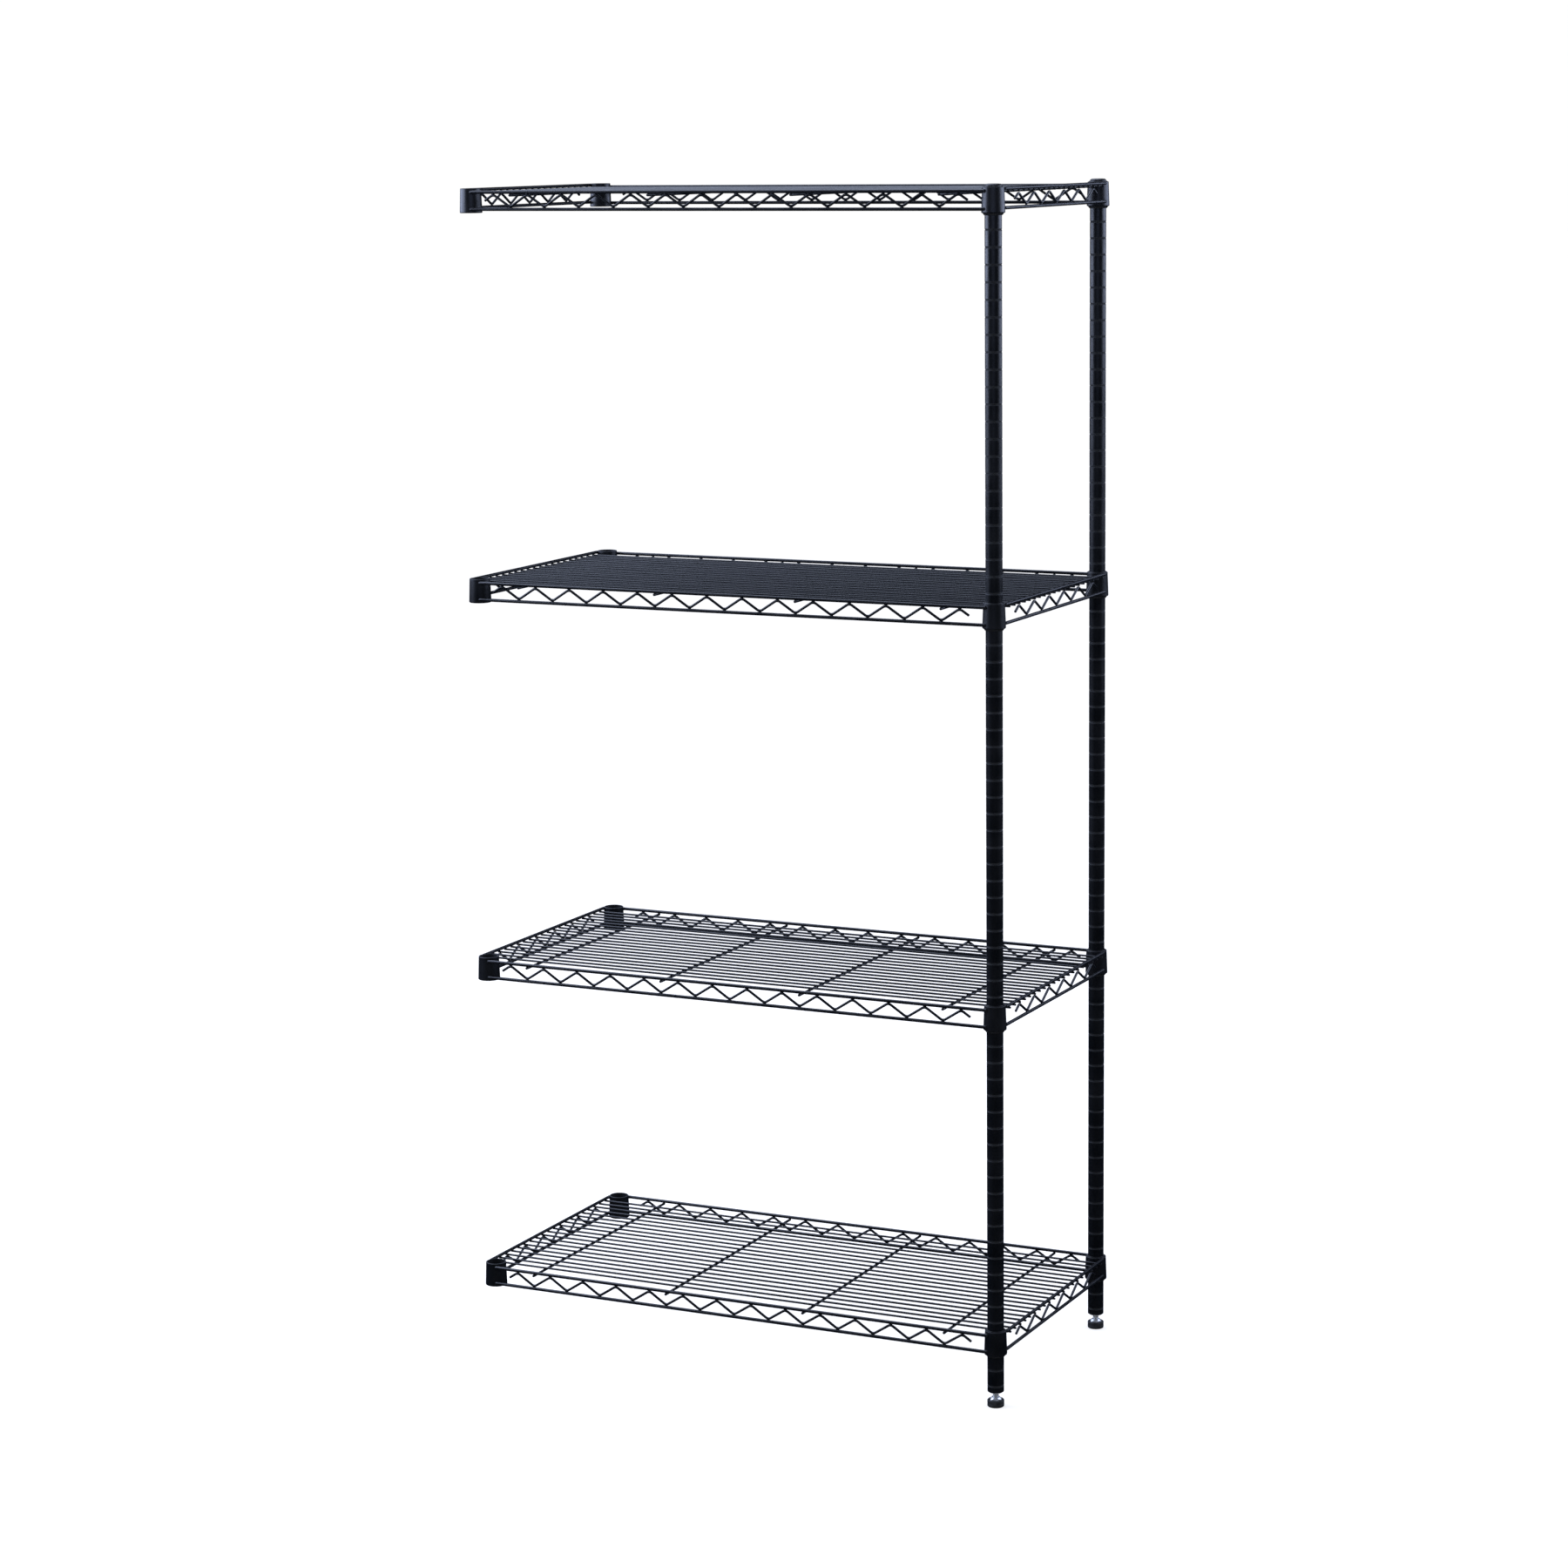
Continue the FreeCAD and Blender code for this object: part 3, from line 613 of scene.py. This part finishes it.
def hexagon(centre, low, segments=144):
    """Radius = least of hexagon, lower chamfer and upper cone, at each angle and height.

    The hexagon's radius is half its flats / cos(angle past the nearest flat's middle).
    """
    angle = math.tau * np.arange(segments) / segments
    past = np.mod(angle, math.pi / 3) - math.pi / 6
    flat = HEX_FLAT / np.cos(past)
    top = HEX_HEIGHT + CONE_HEIGHT
    height = np.concatenate([[0, 0.25, 0.6], np.linspace(1.2, HEX_HEIGHT - 0.4, 4),
                             np.linspace(HEX_HEIGHT, top - 0.25, 9), [top - 0.08, top, top]])
    chamfer = CHAMFER_R + CHAMFER_SLOPE * height
    up_cone = np.clip((height - HEX_HEIGHT) / CONE_HEIGHT, 0, 1)
    cone = HEX_CORNER - (HEX_CORNER - CONE_TOP) * up_cone
    cone[-2] -= 0.25
    limit = np.minimum(chamfer, cone)
    radius = np.minimum(flat[None, :], limit[:, None])
    radius[-1] = STEM_RADIUS - THREAD_DEPTH
    x = centre[0] + radius * np.cos(angle)
    y = centre[1] + radius * np.sin(angle)
    points = np.stack([x, y, low + height[:, None] + 0 * x], axis=-1)
    return Grid(points, wrap_columns=True, lids="rows")


def thread(centre, low, high, segments=40, steps=9):
    """Radius = crest - depth * |2 frac(height / pitch - angle / turn) - 1|, a V that winds up."""
    angle = math.tau * np.arange(segments) / segments
    rows = int((high - low) / THREAD_PITCH * steps)
    height = np.linspace(low, high, rows)[:, None]
    phase = np.mod(height / THREAD_PITCH - angle / math.tau, 1.0)
    ridge = np.clip(1.15 * np.abs(2 * phase - 1) - 0.08, 0, 1)
    radius = STEM_RADIUS - THREAD_DEPTH * ridge
    radius = np.minimum(radius, STEM_RADIUS - 1.1 + (high - height))
    x = centre[0] + radius * np.cos(angle)
    y = centre[1] + radius * np.sin(angle)
    points = np.stack([x, y, height + 0 * x], axis=-1)
    return Grid(points, wrap_columns=True, lids="rows")


for side in SIDES:
    low, high = box_mm(f"foot_stem_{side}")
    shoulder = low[2] + HEX_HEIGHT + CONE_HEIGHT
    grids = [hexagon(POST_XY[side], low[2]), thread(POST_XY[side], shoulder - 0.3, high[2])]
    make_piece(f"stem_and_hexagon_{side}", grids, ZINC, f"stem_{side}",
               [f"foot_stem_{side}"])
print("stem triangles:", made["stem_and_hexagon_front"])

# %% Round shoes
SHOE_FLOOR = 6.0
SHOE_RECESS_R = 10.5


def shoe_outline(low, high, radius):
    """From the hollow underside round the grooved flank, over the lip and into the recess."""
    floor = low + SHOE_FLOOR
    corners = [(0.05, low + 0.6, 0), (6.0, low + 0.6, 0.3), (6.4, low, 0.2),
               (radius - 0.2, low, 1.5), (radius, low + 4.2, 0.5),
               (radius - 0.5, low + 5.0, 0.4), (radius, low + 5.8, 0.4), (radius, high, 1.5),
               (SHOE_RECESS_R, high, 0.4), (SHOE_RECESS_R, floor, 0.3), (0.05, floor, 0)]
    return rounded(corners, closed=False)


for side in SIDES:
    low, high = box_mm(f"foot_pad_{side}")
    outline = shoe_outline(low[2], high[2], (high[0] - low[0]) / 2)
    make_piece(f"round_shoe_{side}", [turned(outline, POST_XY[side], 64, closed=False)],
               SHOE_RUBBER, f"foot_{side}", [f"foot_pad_{side}"])

# %% [markdown]
# ## Corner collars
# Each shelf corner is a short steel ring, pressed to a slight cone so that it wedges on the
# sleeves. Its lower edge is rolled well under and its upper edge only broken. The taper has to
# match the sleeves, so both come from the same two diameters.

# %% Turn the collars
COLLAR_TOP_R = 16.3
COLLAR_BOTTOM_R = 17.7
COLLAR_WALL = 1.8
COLLAR_HIGH = 38.0
LIP_HIGH = 1.2
LIP_RUBBED = 0.6


def collar_radius(drop):
    """Outside radius of a collar at a distance below its upper edge."""
    return COLLAR_TOP_R + (COLLAR_BOTTOM_R - COLLAR_TOP_R) * drop / COLLAR_HIGH


def collar_outline(top):
    """Up the outside, over the lip and down the bore."""
    return rounded([
        (COLLAR_BOTTOM_R - COLLAR_WALL, top - COLLAR_HIGH, 0.2),
        (COLLAR_BOTTOM_R, top - COLLAR_HIGH, 1.5), (COLLAR_TOP_R, top, 0.9),
        (COLLAR_TOP_R - COLLAR_WALL, top, 0.5)], steps=6)


def collar_centre(side, end):
    """Where a corner's axis stands."""
    return np.array([ENDS[end] * COLLAR_X, SIDES[side] * COLLAR_Y])


for level in LEVELS:
    outline = collar_outline(COLLAR_TOP[level])
    lip = LIP_RUBBED * (outline[:, 1] > COLLAR_TOP[level] - LIP_HIGH)
    for side in SIDES:
        for end in ENDS:
            ring = turned(outline, collar_centre(side, end), 64, wear_and_painted_sheen=lip)
            make_piece(f"tapered_collar_{side}_{end}_{level}", [ring], COLLAR_COAT,
                       f"shelf_{level}", [f"collar_{side}_{end}_{level}"])
print("collar triangles:", made["tapered_collar_front_left_1"])

# %% [markdown]
# ## Rails and zigzags
# Each edge of a shelf is a little truss: two straight rails with a wire bent in a zigzag between
# them. The rails run across the faces of the collars and are welded to them, so a rail's inner
# half disappears into the collar's wall. Points that would come out inside the bore are pushed
# back into the middle of the wall, which copes the rail without a boolean.

# %% Sizes of the truss
RAIL_R = 2.6
RAIL_OFFSET = 15.0
RAIL_STOP = 6.5
ZIGZAG_R = 2.0
ZIGZAG_BEND = 8.0
MAT_R = 1.65
CROSS_R = 2.1
SIDE_RAIL_DROP = RAIL_R
MAT_DROP = SIDE_RAIL_DROP + RAIL_R + MAT_R
CROSS_DROP = MAT_DROP + MAT_R + CROSS_R
LONG_RAIL_DROP = CROSS_DROP - CROSS_R - RAIL_R
LONG_LOWER_DROP = 32.0
SIDE_LOWER_DROP = 30.6
LONG_PITCH, LONG_PEAKS = 60.1, 14
MAT_PITCH, MAT_COUNT = 20.1, 20
SIDE_PITCH, SIDE_PEAKS = 3 * MAT_PITCH, 6
COLLAR_WELD_OUT = 12.4
COLLAR_WELD_IN = 1.9
COLLAR_WELD = (3.6, 1.5, 2.5)
ZIGZAG_WELD = (3.4, 1.5, 1.0)


def keep_in_wall(points, centre, top):
    """Push points nearer a collar's axis than the middle of its wall out to that radius."""
    away = points[..., :2] - centre
    distance = np.linalg.norm(away, axis=-1, keepdims=True)
    least = collar_radius(top - points[..., 2:]) - COLLAR_WALL / 2
    near = (distance < least) & (distance > 1e-6)
    moved = centre + away / np.maximum(distance, 1e-6) * least
    result = points.copy()
    result[..., :2] = np.where(near, moved, points[..., :2])
    return result


def zigzag_path(pitch, peaks, peak_drop, trough_drop):
    """Corners at every peak and trough, with the free ends at mid height, rounded to one bend.

    A bend passes inside its corner by radius (1 / cos(slope) - 1), so the corners stand out.
    """
    slope = math.atan2(trough_drop - peak_drop, pitch / 2)
    reach = ZIGZAG_BEND * (1 / math.cos(slope) - 1)
    high, low = -peak_drop + reach, -trough_drop - reach
    first = -(peaks - 1) * pitch / 2
    bends = np.arange(2 * peaks - 1)
    along = first + bends * pitch / 2
    up = np.where(bends % 2 == 0, high, low)
    ends = (high + low) / 2
    corners = [(first - pitch / 4, ends, 0)]
    corners += [(x, z, ZIGZAG_BEND) for x, z in zip(along, up)]
    corners += [(-first + pitch / 4, ends, 0)]
    return rounded(corners, closed=False, steps=6, hold=1.0)


# %% Build a truss along one edge


def truss(level, name):
    """Upper rail, lower rail, zigzag and weld nuggets of one edge of a shelf."""
    top = COLLAR_TOP[level]
    long_edge = name in SIDES
    if long_edge:
        half, offset = COLLAR_X - RAIL_STOP, SIDES[name] * (COLLAR_Y + RAIL_OFFSET)
        drops = (LONG_RAIL_DROP, LONG_LOWER_DROP)
        pitch, peaks, peak_rest = LONG_PITCH, LONG_PEAKS, LONG_RAIL_DROP + RAIL_R
    else:
        half, offset = COLLAR_Y - RAIL_STOP, ENDS[name] * (COLLAR_X + RAIL_OFFSET)
        drops = (SIDE_RAIL_DROP, SIDE_LOWER_DROP)
        pitch, peaks, peak_rest = SIDE_PITCH, SIDE_PEAKS, MAT_DROP + MAT_R

    def place(along, up):
        """A point of the truss's own plane, in the bay's frame."""
        flat = [along, offset + 0 * along, top + up]
        if not long_edge:
            flat[0], flat[1] = flat[1], flat[0]
        return np.stack(flat, axis=-1)

    def weld(size):
        """A nugget's size along, across and up, turned to the bay's own directions."""
        return np.array(size if long_edge else (size[1], size[0], size[2]))

    across = (0.0, 1.0, 0.0) if long_edge else (1.0, 0.0, 0.0)
    grids = []
    for drop in drops:
        ends = place(np.array([-half, half]), np.array([-drop, -drop]))
        grow = np.concatenate([[0.0], np.linspace(0.006, 0.03, 12), np.linspace(0.05, 0.95, 7),
                               np.linspace(0.97, 0.994, 12), [1.0]])
        middle = ends[0] + grow[:, None] * (ends[1] - ends[0])
        rail = wire(middle, RAIL_R, across, sides=20, end_round=0.75)
        for end in (-1, 1):
            if long_edge:
                centre = np.array([end * COLLAR_X, SIDES[name] * COLLAR_Y])
            else:
                centre = np.array([ENDS[name] * COLLAR_X, end * COLLAR_Y])
            rail.points = keep_in_wall(rail.points, centre, top)
        grids.append(rail)
        beads = place(np.array([-half - RAIL_STOP + COLLAR_WELD_OUT,
                                half + RAIL_STOP - COLLAR_WELD_OUT]), np.array([-drop, -drop]))
        beads[:, 1 if long_edge else 0] -= COLLAR_WELD_IN * np.sign(offset)
        grids += nuggets(beads, weld(COLLAR_WELD), rings=7, segments=12)
    peak_drop = peak_rest + ZIGZAG_R
    trough_drop = drops[1] - RAIL_R - ZIGZAG_R
    path = zigzag_path(pitch, peaks, peak_drop, trough_drop)
    grids.append(wire(place(path[:, 0], path[:, 1]), ZIGZAG_R, across, sides=12, end_round=0.4))
    first = -(peaks - 1) * pitch / 2
    crests = first + pitch * np.arange(peaks)
    size = weld(ZIGZAG_WELD)
    if long_edge:
        grids += nuggets(place(crests, np.full(peaks, -peak_rest)), size)
    grids += nuggets(place(crests[:-1] + pitch / 2, np.full(peaks - 1, RAIL_R - drops[1])), size)
    return grids


for level in LEVELS:
    for name in (*SIDES, *ENDS):
        make_piece(f"edge_truss_{name}_{level}", truss(level, name), WIRE_COAT,
                   f"shelf_{level}", [f"truss_{name}_{level}"])
print("truss triangles:", made["edge_truss_front_1"], made["edge_truss_right_1"])

# %% [markdown]
# ## The mat
# Twenty long wires lie side by side on four cross wires. The cross wires end under the long
# upper rails and the mat wires end under the side rails, so each tip shows as a small knob below
# a rail. A nugget sits at every crossing. Wire comes off a coil and is never quite straight, so
# each long wire wanders sideways by up to half a millimetre. Goods slid along the shelf scuff the
# wires in patches. The eye reads both as fine streaks when it looks along the shelf.

# %% Lay the wires
CROSS_X = LONG_PITCH * np.array([-6, -2, 2, 6])
MAT_Y = MAT_PITCH * (np.arange(MAT_COUNT) - (MAT_COUNT - 1) / 2)
MAT_SIDES = 10
WANDER = 0.28
MAT_ON_RAIL_WELD = np.array((1.2, 1.5, 0.7))
MAT_ON_CROSS_WELD = np.array((1.5, 1.3, 0.7))
CROSS_WELD = np.array((1.6, 1.6, 0.9))


def wander(x, wire_number):
    """Sideways drift = WANDER (sin(x / 90 + a) + 0.7 sin(x / 47 + b)), a and b from the number."""
    a, b = 2.4 * wire_number, 5.1 * wire_number + 1.0
    return WANDER * (np.sin(x / 90 + a) + 0.7 * np.sin(x / 47 + b))


def scuffed(x, wire_number):
    """Wear along a wire = c (0.5 + 0.5 sin(x / 38 + d)), with c and d from the number."""
    c, d = 0.1 + 0.5 * (0.618 * wire_number % 1.0), 3.7 * wire_number
    return c * (0.5 + 0.5 * np.sin(x / 38 + d))


def drifting(x, y, height, wire_number):
    """Points along a mat wire at the given x, at one height, following the wire's drift."""
    return np.stack([x, y + wander(x, wire_number), np.full(len(x), height)], axis=-1)


RAIL_X = np.array([-1, 1]) * (COLLAR_X + RAIL_OFFSET)
RAIL_Y = COLLAR_Y + RAIL_OFFSET

for level in LEVELS:
    top = COLLAR_TOP[level]
    low, high = box_mm(f"mat_wires_{level}")
    along = np.concatenate([[low[0], low[0] + 2.0], np.linspace(low[0] + 12, high[0] - 12, 40),
                            [high[0] - 2.0, high[0]]])
    height = top - MAT_DROP
    grids = []
    for number, y in enumerate(MAT_Y, start=MAT_COUNT * level):
        long_wire = wire(drifting(along, y, height, number), MAT_R, (0.0, 1.0, 0.0), MAT_SIDES)
        wear = scuffed(long_wire.points[:, 0, 0], number)
        long_wire.wear_and_painted_sheen = np.maximum(long_wire.wear_and_painted_sheen, np.repeat(wear, MAT_SIDES))
        grids.append(long_wire)
        grids += nuggets(drifting(RAIL_X, y, height + MAT_R, number), MAT_ON_RAIL_WELD)
        grids += nuggets(drifting(CROSS_X, y, height - MAT_R, number), MAT_ON_CROSS_WELD)
    make_piece(f"mat_{level}", grids, WIRE_COAT, f"shelf_{level}",
               [f"mat_wires_{level}"])

    low, high = box_mm(f"cross_wires_{level}")
    height = top - CROSS_DROP
    grids = [straight((x, low[1], height), (x, high[1], height), CROSS_R, (1.0, 0.0, 0.0))
             for x in CROSS_X]
    spots = [(x, y, height + CROSS_R) for x in CROSS_X for y in (-RAIL_Y, RAIL_Y)]
    grids += nuggets(np.array(spots), CROSS_WELD)
    make_piece(f"carriers_{level}", grids, WIRE_COAT, f"shelf_{level}",
               [f"cross_wires_{level}"])
print("mat triangles:", made["mat_1"], "all pieces:", sum(made.values()))

# %% [markdown]
# ## Floor, light and camera
# The bay stands on a plain pale floor under soft light. Black satin paint has almost no colour
# of its own to show, so it is drawn by what it reflects: a soft panel on each side gives every
# tube two light edges and leaves its middle dark, and a broad overhead light runs a thin glint
# along the top of every wire. The floor is a sheet of white acrylic that is lit a little from
# below, as on a product table, so shadows on it are faint.
#
# A white room would also be mirrored in the paint and turn the black to grey. So the floor and
# the room are white to the eye and dim to a glossy reflection, as if black cloth hung where
# only the paint can see it. The Light Path node tells the two kinds of ray apart.

# %% Floor
DIM_ROOM = "10151c"
FLOOR_DROP = 0.2
FLOOR_SEGMENTS = 96
FLOOR_GLOW = 0.56
angle = math.tau * np.arange(FLOOR_SEGMENTS) / FLOOR_SEGMENTS
rings = np.array([5.0, 3000.0, 12000.0, 60000.0])[:, None]
across, deep = rings * np.cos(angle), rings * np.sin(angle)
disc = np.stack([across, deep, 0 * across - FLOOR_DROP], axis=-1)
floor_mesh = bpy.data.meshes.new("studio_floor")
quads, _ = Grid(disc[::-1], wrap_columns=True).faces()
middle = (len(rings) - 1) * FLOOR_SEGMENTS + np.arange(FLOOR_SEGMENTS)
floor_faces = quads.tolist() + [middle.tolist()]
floor_mesh.from_pydata((disc[::-1].reshape(-1, 3) * MM).tolist(), [], floor_faces)
floor = bpy.data.objects.new("studio_floor", floor_mesh)
bpy.context.scene.collection.objects.link(floor)

WHITE = (1.0, 1.0, 1.0, 1.0)
FLOOR_PAINT = empty_material("white_studio_floor")
speck = noise(FLOOR_PAINT, 400.0, detail=2.0)
acrylic = node(FLOOR_PAINT, "ShaderNodeBsdfDiffuse", {"Roughness": 0.6},
               Color=blend_colours(FLOOR_PAINT, speck, "ccc9c4", "d0cdc8"))
glow = node(FLOOR_PAINT, "ShaderNodeEmission", {"Color": WHITE, "Strength": FLOOR_GLOW})
pale = node(FLOOR_PAINT, "ShaderNodeAddShader")
FLOOR_PAINT.node_tree.links.new(acrylic.outputs["BSDF"], pale.inputs[0])
FLOOR_PAINT.node_tree.links.new(glow.outputs["Emission"], pale.inputs[1])
dim = node(FLOOR_PAINT, "ShaderNodeBsdfDiffuse", {"Color": colour(DIM_ROOM)})
ray = node(FLOOR_PAINT, "ShaderNodeLightPath")
either = node(FLOOR_PAINT, "ShaderNodeMixShader", Fac=ray.outputs["Is Glossy Ray"])
FLOOR_PAINT.node_tree.links.new(pale.outputs["Shader"], either.inputs[1])
FLOOR_PAINT.node_tree.links.new(dim.outputs["BSDF"], either.inputs[2])
floor_output = node(FLOOR_PAINT, "ShaderNodeOutputMaterial", Surface=either.outputs["Shader"])
floor_mesh.materials.append(FLOOR_PAINT)

# %% Sky and panels
ROOM_SEEN = 1.02
ROOM_LIGHT = 0.45
ROOM_MIRRORED = 0.02

world = bpy.data.worlds.new("white_room")
bpy.context.scene.world = world
world.use_nodes = True
background = world.node_tree.nodes["Background"]
background.inputs["Color"].default_value = WHITE
room_ray = node(world, "ShaderNodeLightPath")
seen = node(world, "ShaderNodeMapRange", {"To Min": ROOM_LIGHT, "To Max": ROOM_SEEN},
            Value=room_ray.outputs["Is Camera Ray"])
strength = node(world, "ShaderNodeMapRange", {"To Max": ROOM_MIRRORED},
                Value=room_ray.outputs["Is Glossy Ray"])
world.node_tree.links.new(seen.outputs["Result"], strength.inputs["To Min"])
world.node_tree.links.new(strength.outputs["Result"], background.inputs["Strength"])


def panel(name, place, aim, size, watts, tint):
    """A rectangular soft light at place, pointing at aim, both in metres."""
    data = bpy.data.lights.new(name, "AREA")
    data.shape = "RECTANGLE"
    data.size, data.size_y = size
    data.energy = watts
    data.color = colour(tint)[:3]
    light = bpy.data.objects.new(name, data)
    light.location = place
    light.rotation_euler = (Vector(aim) - Vector(place)).to_track_quat("-Z", "Y").to_euler()
    light.visible_camera = False
    bpy.context.scene.collection.objects.link(light)
    return light


panel("left_panel", (-2.5, -0.8, 2.3), (0.0, 0.0, 1.75), (3.0, 1.7), 105.0, "cfdcff")
panel("right_panel", (2.5, 1.55, 2.3), (0.0, 0.0, 1.75), (3.0, 1.7), 70.0, "cfdcff")
panel("front_panel", (1.5, -3.2, 2.3), (0.2, 0.0, 1.8), (2.6, 1.1), 10.0, "c0d0ff")

overhead_data = bpy.data.lights.new("overhead_light", "SUN")
overhead_data.energy = 2.6
overhead_data.angle = math.radians(60.0)
overhead_data.color = colour("d6e2ff")[:3]
overhead = bpy.data.objects.new("overhead_light", overhead_data)
overhead.rotation_euler = Vector((-0.43, 0.3, 0.85)).to_track_quat("Z", "Y").to_euler()
bpy.context.scene.collection.objects.link(overhead)

# %% [markdown]
# The camera stands about 6 m away, a little above the top shelf, so it looks along the top shelf
# and down onto the bottom one. A long lens and a small shift of it keep the posts nearly
# parallel.

# %% Camera
camera_data = bpy.data.cameras.new("camera")
camera_data.sensor_width = 36.0
camera_data.lens = 87.14
camera_data.shift_y = -0.03
camera_data.clip_end = 300.0
camera = bpy.data.objects.new("camera", camera_data)
camera.location = (2.5941, -5.3625, 1.9397)
camera.rotation_euler = [math.radians(a) for a in (80.844, 0.627, 25.809)]
bpy.context.scene.collection.objects.link(camera)
bpy.context.scene.camera = camera
bpy.context.scene.view_settings.view_transform = "Standard"
